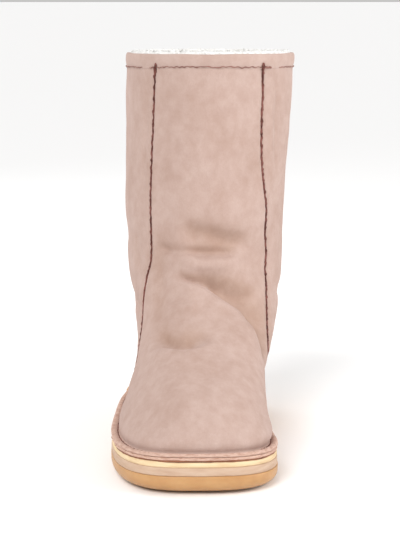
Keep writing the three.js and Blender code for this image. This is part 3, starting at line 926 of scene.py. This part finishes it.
# ---- the heel counter
COUNTER_MM = 69.1         # millimetres round the heel for one radian
COUNTER_RISE = 95.0       # about its height above the crease
COUNTER_GRID = {"across": 150, "up": 120, "flange": 9}
FOOT_UP = 0.35            # its flange lies this far above the upper's
STITCH_INSET = 4.0        # its stitches lie this far inside its edges


def counter_reach(turn):
    """How far the counter reaches round the heel, on the side that a turn lies."""
    return np.radians(np.where(np.asarray(turn) > 0, COUNTER["lateral_turn"], COUNTER["medial_turn"]))


def counter_top(turn):
    end = math.radians(COUNTER["top_turn"])
    slant = (np.abs(turn) - end) / (counter_reach(turn) - end)
    return lerp(COUNTER["top"], COUNTER["front"], np.maximum(slant, 0))


def counter_point(turn, rise, out):
    """A point of the counter: rise 0 is the crease, 1 its upper edge, and below 0 its flange."""
    turn, rise = np.broadcast_arrays(np.asarray(turn, float), np.asarray(rise, float))
    crease_z = flange_top(HEEL_BACK - ring_point(CREASE, turn)[..., 1])
    z = lerp(crease_z + 1.2, counter_top(turn), np.maximum(rise, 0))
    wall = skin(turn, level_at_height(turn, z), out)
    edge = ring_point(SOLE_EDGE, turn, np.maximum(FLANGE_WIDTH * (1 + rise), 0.15))
    edge[..., 2] = flange_top(HEEL_BACK - edge[..., 1]) + FOOT_UP + out
    fold = smooth(rise, -0.35, 0.012)[..., None]
    return np.where((rise < 0)[..., None], lerp(edge, wall, fold), wall)


def heel_counter():
    """Natural leather, six-sided from behind, with eased edges, turned out over the flange."""
    across, up, low = COUNTER_GRID["across"], COUNTER_GRID["up"], COUNTER_GRID["flange"]
    turn = np.linspace(-1, 1, across)
    turn = turn * counter_reach(turn)
    rise = np.concatenate([np.linspace(-1, -0.06, low), np.linspace(0.004, 1, up - low)])
    turn, rise = np.meshgrid(turn, rise, indexing="xy")
    width_left = (counter_reach(turn) - np.abs(turn)) * COUNTER_MM
    top_left = (1 - rise) * COUNTER_RISE
    ease = np.minimum(np.minimum(width_left, top_left), np.where(rise < -0.8, (rise + 1) * 8, 9))
    thick = COUNTER["thickness"] * (1 - 0.55 * bell(ease, 0.7) - 0.22 * bell(ease, 2.2))
    stitch = np.minimum(np.abs(top_left - STITCH_INSET), np.abs(width_left - STITCH_INSET))
    inside = (width_left > 3) & (top_left > 3) & (rise > 0)
    thick -= np.where(inside, 0.5 * bell(stitch, 0.8), 0)
    outer = counter_point(turn, rise, COUNTER["gap"] + thick)
    inner = counter_point(turn, rise, np.full(turn.shape, -0.6))
    count = turn.size
    face = grid_faces(up, across, close_columns=False)
    faces = [tuple(f) for f in face] + [tuple(f[::-1] + count) for f in face]
    grid = np.arange(count).reshape(up, across)
    border = [*grid[0], *grid[1:, -1], *grid[-1, -2::-1], *grid[-2:0:-1, 0]]
    faces += [(b, a, a + count, b + count) for a, b in zip(border, border[1:] + border[:1])]
    points = np.concatenate([outer.reshape(-1, 3), inner.reshape(-1, 3)])
    piece = mesh_object("leather_heel_counter", points, faces, LEATHER, "tan_leather", ("heel_counter",))
    # Darker where the counter is worn, low at its back.
    painted_shade_and_wear = bell(turn, 0.5) * bell(rise - 0.14, 0.16)
    mark_points(piece, "painted_shade_and_wear", np.stack([painted_shade_and_wear, 0 * painted_shade_and_wear]))


# ---- stitching
SIDES = 8                 # of every thread
# The rings of one stitch, as (place along it, size), from end to end.
STITCH_RINGS = ((-0.5, 0.25), (-0.42, 0.7), (-0.2, 1.0), (0.2, 1.0), (0.42, 0.7), (0.5, 0.25))


def thread_ring(centre, across, normal, width, height, size):
    ring = []
    for k in range(SIDES):
        angle = 2 * math.pi * k / SIDES
        ring.append(centre + across * math.cos(angle) * width * size / 2
                    + normal * math.sin(angle) * height * size / 2)
    return ring


def stitch_mesh(name, stitches):
    """Many stitches in one mesh. Each is a rounded bar between two ends on the surface."""
    points, faces = [], []
    for start, end, normal, width, height in stitches:
        start, end, normal = Vector(start), Vector(end), Vector(normal).normalized()
        ahead = end - start
        length = ahead.length
        ahead.normalize()
        across = normal.cross(ahead).normalized()
        first = len(points)
        for place, size in STITCH_RINGS:
            sunk = normal * height * 0.5 * (abs(place) * 2) ** 3
            centre = (start + end) / 2 + ahead * place * length - sunk
            points += [tuple(point) for point in thread_ring(centre, across, normal, width, height, size)]
        faces += tube_faces(first, len(STITCH_RINGS), SIDES)
    return mesh_object(name, points, faces, THREAD, "suede")


def at_lengths(wanted, length, values):
    """Values given along a line, read off at other lengths along it."""
    return np.stack([np.interp(wanted, length, values[:, i]) for i in range(3)], -1)


def run_of_stitches(points, normals, pitch, gap, width, height, jitter, tilt, seed):
    """Stitches laid end to end along a line on the surface, each a little out of true."""
    rng = random.Random(seed)
    length = run_length(points)
    stitches = []
    s = 0.0
    while s + pitch < length[-1]:
        step = pitch * rng.uniform(0.85, 1.15)
        start = at_lengths(s + gap / 2, length, points)
        end = at_lengths(s + step - gap / 2, length, points)
        normal = at_lengths(s + step / 2, length, normals)
        across = np.cross(normal, end - start)
        across /= np.linalg.norm(across)
        shift = across * rng.uniform(-jitter, jitter)
        lean = across * tilt * rng.uniform(0.6, 1.3)
        stitches.append((start + shift - lean, end + shift + lean, normal,
                         width * rng.uniform(0.8, 1.15), height * rng.uniform(0.9, 1.1)))
        s += step
    return stitches


CORD = {"step": 0.7, "twist": 8.6, "taper": 0.9}    # millimetres along a thread


def cord(lines):
    """Threads laid along lines on the surface: (points, normals, width, height, seed) each."""
    points, faces = [], []
    for line, normals, width, height, seed in lines:
        length = run_length(line)
        steps = max(int(length[-1] / CORD["step"]), 4)
        along = np.linspace(0, length[-1], steps)
        centre = at_lengths(along, length, line)
        normal = at_lengths(along, length, normals)
        normal /= np.linalg.norm(normal, axis=1, keepdims=True)
        ahead = np.gradient(centre, axis=0)
        across = np.cross(normal, ahead)
        across /= np.linalg.norm(across, axis=1, keepdims=True)
        wander = noise_along(along, 3.6, seed * 7.0, 0)
        swell = noise_along(along, 2.6, seed * 7.0, 9.0)
        twist = np.maximum(np.sin(2 * np.pi * along / CORD["twist"] + seed), 0) ** 6
        taper = np.minimum(1, np.minimum(along, along[-1] - along) / CORD["taper"] + 0.25)
        centre = centre + across * (wander * 0.8 * min(width, 1.2))[:, None]
        size = taper * (1 + 0.55 * swell + 0.4 * twist)
        first = len(points)
        for k in range(steps):
            points += thread_ring(centre[k], across[k], normal[k], width, height, size[k])
        faces += tube_faces(first, steps, SIDES)
    return points, faces


def standing(turn, level, out):
    """Points that stand out of the plain skin, and the directions straight out of it there."""
    points = skin(turn, level, out)
    return points, points - skin(turn, level, out - 1.0)


THREAD_END = {"top": 274.6, "foot": 266.0, "points": 9}    # each seam's thread ends over the binding


def seam_lines():
    """The two thick hand-sewn seams down the front, and the ends of their threads."""
    lines = []
    for seed, (seam, width) in enumerate(((LATERAL_SEAM, 1.5), (MEDIAL_SEAM, 1.85))):
        path = dense(seam, 420)
        turn = np.radians(path[:, 0])
        level = level_at_height(turn, path[:, 1])
        lines.append((*standing(turn, level, hide_relief(turn, level) + 0.25), width, 1.5, seed + 2))
        tick_z = np.linspace(THREAD_END["top"], THREAD_END["foot"], THREAD_END["points"])
        tick_turn = np.radians(np.interp(tick_z, path[::-1, 1], path[::-1, 0]))
        level = level_at_height(tick_turn, tick_z)
        out = np.interp(tick_z, (THREAD_END["foot"], 269.0, 271.0, THREAD_END["top"]), (0.3, 0.5, 1.1, 1.2))
        lines.append((*standing(tick_turn, level, out), width * 1.15, 1.3, seed + 5))
    return lines


# Runs of the line at the binding's foot: first and last turn, the thread's width and height, and
# how wavy it is. It is broken by the lateral seam and doubled by the medial.
COLLAR_RUNS = ((-124.0, 132.6, 0.55, 0.5, 1.0), (140.4, 221.6, 0.6, 0.6, 1.0),
               (221.8, 229.0, 1.35, 1.1, 0.0))


def collar_lines():
    lines = []
    for start, end, width, height, waviness in COLLAR_RUNS:
        turn = np.radians(np.linspace(start, end, int((end - start) * 5) + 2))
        wave = np.sin(turn * 83) * 0.25 + noise_along(turn * 7, 1, 0, 0) * 0.5
        z = skin(turn, 1.0)[..., 2] - binding_drop(turn) + 1.0 + wave * waviness
        points, normals = standing(turn, level_at_height(turn, z), np.full(turn.shape, 0.65))
        lines.append((points, normals, width, height, start / 50 + 20))
    return lines


def counter_stitches():
    """The zigzag line inside the counter's edge, and the one in its crease."""
    medial, lateral = -counter_reach(-1), counter_reach(1)
    back, front = medial + STITCH_INSET / COUNTER_MM, lateral - STITCH_INSET / COUNTER_MM
    side, top = 260, 700
    side_rise = np.linspace(0.03, 1, side)
    turn = np.concatenate([np.full(side, back), np.linspace(back, front, top), np.full(side, front)])
    rise = np.concatenate([side_rise, np.ones(top), side_rise[::-1]])
    crease_z = flange_top(HEEL_BACK - ring_point(CREASE, turn)[:, 1])
    height = counter_top(turn) - crease_z
    rise = np.minimum(rise, 1 - 4.2 / height)
    stand = COUNTER["gap"] + COUNTER["thickness"]
    out = np.full(turn.shape, stand - 0.25)
    points = counter_point(turn, rise, out)
    normals = points - counter_point(turn, rise, out - 1.0)
    keep = np.concatenate([[True], np.linalg.norm(np.diff(points, axis=0), axis=1) > 1e-4])
    stitches = run_of_stitches(points[keep], normals[keep], 3.9, -0.3, 1.3, 1.2, 0.15, 0.5, 21)
    turn = np.linspace(medial, lateral, 900)
    points = ring_point(SOLE_EDGE, turn, FLANGE_WIDTH - stand - 0.9)
    points[:, 2] = flange_top(HEEL_BACK - points[:, 1]) + FOOT_UP + stand + 0.25
    normals = np.tile([0.0, 0.0, 1.0], (len(turn), 1))
    return stitches + run_of_stitches(points, normals, 4.0, -0.2, 1.5, 1.5, 0.2, 0.35, 22)


def crease_stitches():
    """The stitches that hold the flange down, sunk in the crease from counter to counter."""
    turn = np.linspace(counter_reach(1), 2 * math.pi - counter_reach(-1), 1400)
    ring = ring_point(SOLE_EDGE, turn, FLANGE_WIDTH - 0.6)
    ring[:, 2] = flange_top(HEEL_BACK - ring[:, 1]) - 0.75
    normals = np.tile([0.0, 0.0, 1.0], (len(turn), 1))
    return run_of_stitches(ring, normals, 4.6, 0.9, 0.9, 0.8, 0.15, 0.1, 31)


# ---- the footbed
# The footbed's rings, as (how far inside the wall, how far up). The upper ones are fluffy.
FOOTBED_RINGS = ((3.2, 0.2), (1.6, 0.2), (1.0, 2.0), (1.2, 4.0), (2.2, 5.2), (4.0, 5.9), (9.0, 6.0),
                 (16.0, 6.0))
FLUFF_FROM = 3


def footbed():
    rings = []
    for extra, up in FOOTBED_RINGS:
        ring = ring_point(CREASE, turns(200), WALL + extra)
        fluff = ripple(ring, 5, up) * 0.7 if up > FLUFF_FROM else 0
        ring[:, 2] = board_top(HEEL_BACK - ring[:, 1]) + GAP + up + fluff
        rings.append(ring)
    slab("fleece_footbed", rings, WOOL, "wool", ("insole",))


# ---- studio
# Each lamp: its kind, its place in metres, its size (an angle for the sun) and its power.
LAMPS = (("key", "SUN", (-0.5, -1.25, 1.15), math.radians(30), 2.1),
         ("fill", "AREA", (1.1, -0.35, 0.6), 0.9, 9.0),
         ("rim", "AREA", (-0.9, 0.9, 0.9), 1.0, 6.0))
LAMPS_AIM = (0, -0.08, 0.12)
CAMERA = {"lens": 119, "place": (-0.0208, -1.345, 0.320), "aim": (-0.007, -0.115, 0.1325)}


def aim_at(thing, place, aim):
    """Links a lamp or a camera to the scene, at a place and turned to another."""
    thing.location = place
    thing.rotation_euler = (Vector(aim) - Vector(place)).to_track_quat("-Z", "Y").to_euler()
    bpy.context.scene.collection.objects.link(thing)


def studio():
    bpy.ops.mesh.primitive_plane_add(size=160, location=(0, 60, 0))
    floor = bpy.context.object
    floor.name = "floor"
    paper = Nodes("pale_floor")
    floor.data.materials.append(paper.finish((0.97, 0.97, 0.97, 1), 0.9, 0.1))

    world = bpy.data.worlds.new("studio")
    world.use_nodes = True
    world.node_tree.nodes["Background"].inputs["Color"].default_value = (1, 0.99, 0.98, 1)
    world.node_tree.nodes["Background"].inputs["Strength"].default_value = 0.56
    bpy.context.scene.world = world

    for name, kind, place, size, power in LAMPS:
        light = bpy.data.lights.new(name, kind)
        light.energy = power
        if kind == "SUN":
            light.angle = size
        else:
            light.size = size
        aim_at(bpy.data.objects.new(name, light), place, LAMPS_AIM)

    camera_data = bpy.data.cameras.new("camera")
    camera_data.lens = CAMERA["lens"]
    camera = bpy.data.objects.new("camera", camera_data)
    aim_at(camera, CAMERA["place"], CAMERA["aim"])
    bpy.context.scene.camera = camera
    bpy.context.scene.view_settings.view_transform = "Standard"


# ---- the boot
studio()
sole()
hide()
wool_lining()
collar_fleece()
collar_binding()
heel_counter()
mesh_object("seam_threads", *cord(seam_lines()), THREAD, "suede")
mesh_object("collar_threads", *cord(collar_lines()), FINE_THREAD, "suede")
stitch_mesh("counter_stitches", counter_stitches())
stitch_mesh("crease_stitches", crease_stitches())
footbed()
